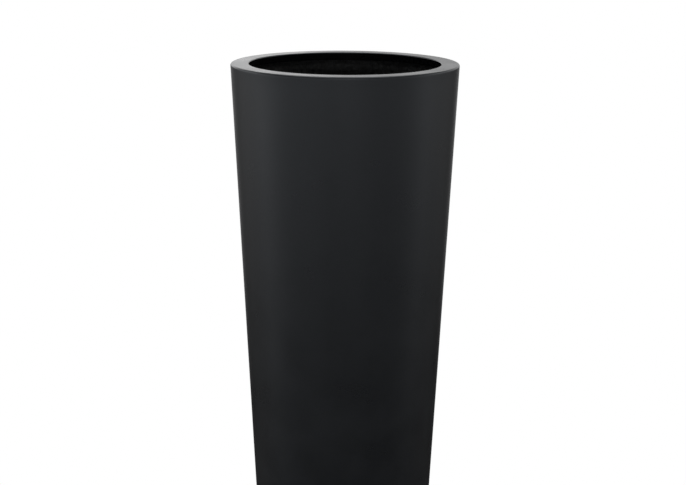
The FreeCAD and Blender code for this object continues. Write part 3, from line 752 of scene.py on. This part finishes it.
class PLANTER_OT_feet(bpy.types.Operator):
    """Makes the four rubber feet and finishes the blocks that they are screwed to"""

    bl_idname = "planter.make_feet"
    bl_label = "Feet"

    def execute(self, context):
        sizes = context.scene.planter_sizes
        bore = 2.8 * MM
        recess = 7.5 * MM
        recess_depth = 4.5 * MM
        groove_inside = 10.5 * MM
        groove_outside = 13 * MM
        groove_depth = 0.7 * MM
        groove_slope = 0.3 * MM
        taper = 1.5 * MM
        recess_edge = 0.4 * MM
        groove_edge = 0.3 * MM
        groove_corner = 0.2 * MM
        floor_edge = 0.8 * MM
        block_edge = 0.6 * MM
        for corner in CORNERS:
            node = f"rubber_foot_{corner}"
            low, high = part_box(node)
            centre = (low + high) / 2
            outer = (high.x - low.x) / 2
            groove = low.z + groove_depth
            ledge = low.z + recess_depth
            outline = [
                (recess, low.z, recess_edge, None, 0),
                (groove_inside, low.z, groove_edge, None, 0),
                (groove_inside + groove_slope, groove, groove_corner, None, 0),
                (groove_outside - groove_slope, groove, groove_corner, None, 0),
                (groove_outside, low.z, groove_edge, None, 0),
                (outer - taper, low.z, floor_edge, None, 0),
                (outer, high.z, block_edge, None, 0),
                (bore, high.z, 0, None, 0),
                (bore, ledge, 0, None, 0),
                (recess, ledge, 0, None, 0),
            ]
            foot = turn(f"rubber_pad_{corner}", outline, material_of(moulded_rubber), sizes.foot_segments,
                        sharp=50, centre=(centre.x, centre.y))
            place_piece(foot, "planter", "black_rubber", node)
        finish_nodes([f"foot_block_{corner}" for corner in CORNERS], flow_coated_laminate)
        return {"FINISHED"}


class PLANTER_OT_fixings(bpy.types.Operator):
    """Finishes the screws, washers and inserts of the feet"""

    bl_idname = "planter.make_fixings"
    bl_label = "Screws, washers and inserts"

    def execute(self, context):
        finish_nodes(["foot_screws", "foot_washers"], stainless_steel)
        finish_nodes(["foot_inserts"], turned_brass)
        return {"FINISHED"}


class PLANTER_OT_drain(bpy.types.Operator):
    """Finishes the drain outlet with its gasket, nut and plug"""

    bl_idname = "planter.make_drain"
    bl_label = "Drain"

    def execute(self, context):
        finish_nodes(["drain_outlet", "drain_locknut"], glass_filled_nylon)
        finish_nodes(["drain_gasket", "drain_plug"], moulded_rubber)
        return {"FINISHED"}


class PLANTER_OT_shelf(bpy.types.Operator):
    """Finishes the lift-out shelf and the cleats that carry it"""

    bl_idname = "planter.make_shelf"
    bl_label = "Shelf and cleats"

    def execute(self, context):
        finish_nodes(["shelf"], polypropylene)
        finish_nodes([f"shelf_cleat_{side}" for side in SIDES], raw_laminate)
        return {"FINISHED"}


# ---- studio ----


def add_softbox(name, place, target, width, height, power):
    """Adds a rectangular lamp that faces its target and isn't seen itself."""
    lamp = bpy.data.lights.new(name, "AREA")
    lamp.shape = "RECTANGLE"
    lamp.size = width
    lamp.size_y = height
    lamp.energy = power
    softbox = bpy.data.objects.new(name, lamp)
    softbox.location = place
    softbox.rotation_euler = (Vector(target) - Vector(place)).to_track_quat("-Z", "Y").to_euler()
    softbox.visible_camera = False
    bpy.context.scene.collection.objects.link(softbox)


def add_camera():
    """The photograph's view: seen from 3.5 m away, a little from above."""
    eye = (0, -3.5, 1.3107)
    pitch = math.radians(11.786)
    yaw = math.radians(-0.031)
    roll = math.radians(0.317)
    focal_length = 105.63
    sensor_width = 36
    ahead = Vector((math.sin(yaw) * math.cos(pitch), math.cos(yaw) * math.cos(pitch), -math.sin(pitch)))
    right = ahead.cross(Vector((0, 0, 1))).normalized()
    up = right.cross(ahead)
    turned_right = right * math.cos(roll) + up * math.sin(roll)
    turned_up = up * math.cos(roll) - right * math.sin(roll)
    lens = bpy.data.cameras.new("photo_view")
    lens.sensor_width = sensor_width
    lens.lens = focal_length
    camera = bpy.data.objects.new("photo_view", lens)
    axes = Matrix((turned_right, turned_up, -ahead)).transposed().to_4x4()
    camera.matrix_world = Matrix.Translation(eye) @ axes
    bpy.context.scene.collection.objects.link(camera)
    bpy.context.scene.camera = camera


# How bright a reflection finds the studio, by the direction that it looks in. Each pair is the direction's
# part along one axis and the brightness there, and ramps of one group are multiplied. The room and the light
# from behind are found below the horizon, and the background above it.
ROOM_BY_HEIGHT = (
    (-0.97, 0.12), (-0.85, 0.4), (-0.70, 0.4), (-0.58, 0.03), (-0.46, 0.0),
    (-0.40, 0.06), (-0.34, 0.28), (-0.28, 0.38), (-0.22, 1.35), (-0.15, 1.7))
ROOM_BY_DEPTH = ((-1.0, 0.68), (-0.5, 0.72), (0.0, 0.92), (0.3, 0.48), (0.8, 0.07), (0.9, 0.10), (1.0, 0.5))
ROOM_BY_SIDE = ((-0.9, 0.95), (-0.5, 1.1), (-0.25, 0.84), (0.3, 0.86), (0.9, 0.65))
BEHIND_BY_HEIGHT = ((-0.75, 0.5), (-0.46, 0.22), (-0.38, 0.03), (-0.32, 0.0))
BEHIND_BY_DEPTH = ((0.3, 0.0), (0.85, 1.0))
BACKGROUND_BY_DEPTH = ((-0.85, 0.06), (-0.55, 0.4), (0.3, 1.0))
BACKGROUND_BY_HEIGHT = ((0.2, 1.0), (0.5, 0.3))


def add_world(studio):
    """White to the camera. A reflection finds the studio as the ramps say, and other light is even."""
    world = bpy.data.worlds.new("studio")
    bpy.context.scene.world = world
    world.use_nodes = True
    # Rays from the surfaces meet the world by their kind, so it isn't sampled as a lamp.
    world.cycles.sampling_method = "NONE"
    tree = world.node_tree
    tree.nodes.clear()
    direction = add_node(tree, "ShaderNodeTexCoord").outputs["Generated"]
    parts = add_node(tree, "ShaderNodeSeparateXYZ", inputs={"Vector": direction}).outputs
    levels = []
    for axis, stops in (("Z", ROOM_BY_HEIGHT), ("Y", ROOM_BY_DEPTH), ("X", ROOM_BY_SIDE),
                        ("Z", BEHIND_BY_HEIGHT), ("Y", BEHIND_BY_DEPTH),
                        ("Y", BACKGROUND_BY_DEPTH), ("Z", BACKGROUND_BY_HEIGHT)):
        share = add_node(tree, "ShaderNodeMapRange", inputs={
            "Value": parts[axis], "From Min": -1.0, "From Max": 1.0})
        ramp = add_node(tree, "ShaderNodeValToRGB", inputs={"Fac": share.outputs["Result"]})
        while len(ramp.color_ramp.elements) < len(stops):
            ramp.color_ramp.elements.new(0.5)
        for element, (place, level) in zip(ramp.color_ramp.elements, stops):
            element.position = (place + 1) / 2
            element.color = (level, level, level, 1)
        levels.append(ramp.outputs["Color"])
    height, depth, side, behind_height, behind_depth, above_depth, above_height = levels
    upright = add_node(tree, "ShaderNodeMath", {"operation": "MULTIPLY"}, {0: height, 1: depth})
    around = add_node(tree, "ShaderNodeMath", {"operation": "MULTIPLY"}, {
        0: upright.outputs["Value"], 1: side})
    both = add_node(tree, "ShaderNodeMath", {"operation": "MULTIPLY_ADD"}, {
        0: behind_height, 1: behind_depth, 2: around.outputs["Value"]})
    below = add_node(tree, "ShaderNodeMath", {"operation": "MULTIPLY"}, {
        0: both.outputs["Value"], 1: studio.room})
    above = add_node(tree, "ShaderNodeMath", {"operation": "MULTIPLY"}, {
        0: above_depth, 1: above_height})
    horizon = add_node(tree, "ShaderNodeMapRange", {"interpolation_type": "SMOOTHSTEP"}, {
        "Value": parts["Z"], "From Min": -0.05, "From Max": 0.05})
    room = add_node(tree, "ShaderNodeMix", inputs={
        "Factor": horizon.outputs["Result"], "A": below.outputs["Value"], "B": above.outputs["Value"]})
    rays = add_node(tree, "ShaderNodeLightPath").outputs
    mirrored = add_node(tree, "ShaderNodeMath", {"operation": "ADD", "use_clamp": True}, {
        0: rays["Is Glossy Ray"], 1: rays["Is Transmission Ray"]})
    lit = add_node(tree, "ShaderNodeMix", inputs={
        "Factor": mirrored.outputs["Value"], "A": studio.fill, "B": room.outputs["Result"]})
    strength = add_node(tree, "ShaderNodeMix", inputs={
        "Factor": rays["Is Camera Ray"], "A": lit.outputs["Result"], "B": 1.0})
    light = add_node(tree, "ShaderNodeBackground", inputs={
        "Color": (1, 1, 1, 1), "Strength": strength.outputs["Result"]})
    add_node(tree, "ShaderNodeOutputWorld", inputs={"Surface": light.outputs["Background"]})


def floor_material(studio, colours):
    """Seamless white paper: keeps the planter's shadow and turns into the white background at its edge."""
    material, tree, place = start_material("studio_paper")
    distance = add_node(tree, "ShaderNodeVectorMath", {"operation": "LENGTH"}, {"Vector": place})
    fade_start = studio.floor_radius * 0.45
    fade_end = studio.floor_radius * 0.97
    edge = add_node(tree, "ShaderNodeMapRange", {"interpolation_type": "SMOOTHSTEP"}, {
        "Value": distance.outputs["Value"], "From Min": fade_start, "From Max": fade_end})
    matt = add_node(tree, "ShaderNodeBsdfDiffuse", inputs={"Color": shade(colours.floor, 1)})
    glow = add_node(tree, "ShaderNodeEmission", inputs={
        "Color": (1, 1, 1, 1), "Strength": studio.floor_glow})
    paper = add_node(tree, "ShaderNodeAddShader", inputs={
        0: matt.outputs["BSDF"], 1: glow.outputs["Emission"]})
    white = add_node(tree, "ShaderNodeEmission", inputs={"Color": (1, 1, 1, 1), "Strength": 1.0})
    rays = add_node(tree, "ShaderNodeLightPath").outputs
    mirrored = add_node(tree, "ShaderNodeMath", {"operation": "ADD", "use_clamp": True}, {
        0: rays["Is Glossy Ray"], 1: rays["Is Transmission Ray"]})
    seen = add_node(tree, "ShaderNodeMath", {"operation": "ADD", "use_clamp": True}, {
        0: rays["Is Camera Ray"], 1: mirrored.outputs["Value"]})
    fade = add_node(tree, "ShaderNodeMath", {"operation": "MULTIPLY"}, {
        0: edge.outputs["Result"], 1: seen.outputs["Value"]})
    upper = add_node(tree, "ShaderNodeMixShader", inputs={
        "Fac": fade.outputs["Value"], 1: paper.outputs["Shader"], 2: white.outputs["Emission"]})
    # From below the paper isn't seen, so that the feet and the underside are.
    clear = add_node(tree, "ShaderNodeBsdfTransparent")
    back = add_node(tree, "ShaderNodeNewGeometry").outputs["Backfacing"]
    sheet = add_node(tree, "ShaderNodeMixShader", inputs={
        "Fac": back, 1: upper.outputs["Shader"], 2: clear.outputs["BSDF"]})
    add_node(tree, "ShaderNodeOutputMaterial", inputs={"Surface": sheet.outputs["Shader"]})
    return material


class PLANTER_OT_studio(bpy.types.Operator):
    """Makes the pale floor, the white surroundings, the lamps and the camera"""

    bl_idname = "planter.make_studio"
    bl_label = "Studio"

    def execute(self, context):
        scene = context.scene
        studio = scene.planter_studio
        corners = 96
        angles = [2 * math.pi * number / corners for number in range(corners)]
        edge = [(studio.floor_radius * math.cos(angle), studio.floor_radius * math.sin(angle), 0)
                for angle in angles]
        mesh = bpy.data.meshes.new("studio_floor")
        mesh.from_pydata(edge, [], [tuple(range(corners))])
        mesh.materials.append(floor_material(studio, scene.planter_colours))
        floor = bpy.data.objects.new("studio_floor", mesh)
        scene.collection.objects.link(floor)
        # Reflections and the light on the underside come from the room, as if the floor weren't there.
        floor.visible_glossy = False
        floor.visible_diffuse = False
        body = (0, 0, 0.6)
        rim = (0, 0, 0.9)
        add_softbox("left_softbox", (-2.2, 0.6, 1.5), body, 0.8, 1.6, studio.left_lamp)
        add_softbox("right_softbox", (2.3, 0.4, 1.6), body, 0.8, 1.6, studio.right_lamp)
        add_softbox("front_softbox", (0.0, -4.3, 1.24), rim, 2.4, 0.2, studio.front_lamp)
        add_softbox("back_softbox", (-0.85, 2.8, 1.5), rim, 1.6, 0.5, studio.back_lamp)
        add_softbox("top_softbox", (0, 0.1, 3.0), body, 2.6, 2.6, studio.top_lamp)
        add_world(studio)
        add_camera()
        scene.view_settings.view_transform = "Standard"
        return {"FINISHED"}


class PLANTER_PT_panel(bpy.types.Panel):
    """Lists the pieces of the planter and their sizes and colours"""

    bl_idname = "PLANTER_PT_panel"
    bl_label = "Planter"
    bl_space_type = "VIEW_3D"
    bl_region_type = "UI"
    bl_category = "Planter"

    def draw(self, context):
        scene = context.scene
        for operator in OPERATORS:
            self.layout.operator(operator.bl_idname)
        for group in (scene.planter_sizes, scene.planter_colours, scene.planter_studio):
            box = self.layout.box()
            for name in group.__annotations__:
                box.prop(group, name)


GROUPS = (PlanterSizes, PlanterColours, PlanterStudio)
OPERATORS = (
    PLANTER_OT_wall,
    PLANTER_OT_rim,
    PLANTER_OT_rim_joint,
    PLANTER_OT_base,
    PLANTER_OT_feet,
    PLANTER_OT_fixings,
    PLANTER_OT_drain,
    PLANTER_OT_shelf,
    PLANTER_OT_studio,
)


def register():
    for item in (*GROUPS, *OPERATORS, PLANTER_PT_panel):
        bpy.utils.register_class(item)
    bpy.types.Scene.planter_sizes = PointerProperty(type=PlanterSizes)
    bpy.types.Scene.planter_colours = PointerProperty(type=PlanterColours)
    bpy.types.Scene.planter_studio = PointerProperty(type=PlanterStudio)


def unregister():
    del bpy.types.Scene.planter_studio
    del bpy.types.Scene.planter_colours
    del bpy.types.Scene.planter_sizes
    for item in reversed((*GROUPS, *OPERATORS, PLANTER_PT_panel)):
        bpy.utils.unregister_class(item)


def main():
    register()
    bpy.ops.planter.make_wall()
    bpy.ops.planter.make_rim()
    bpy.ops.planter.make_rim_joint()
    bpy.ops.planter.make_base()
    bpy.ops.planter.make_feet()
    bpy.ops.planter.make_fixings()
    bpy.ops.planter.make_drain()
    bpy.ops.planter.make_shelf()
    bpy.ops.planter.make_studio()


if __name__ == "__main__":
    main()
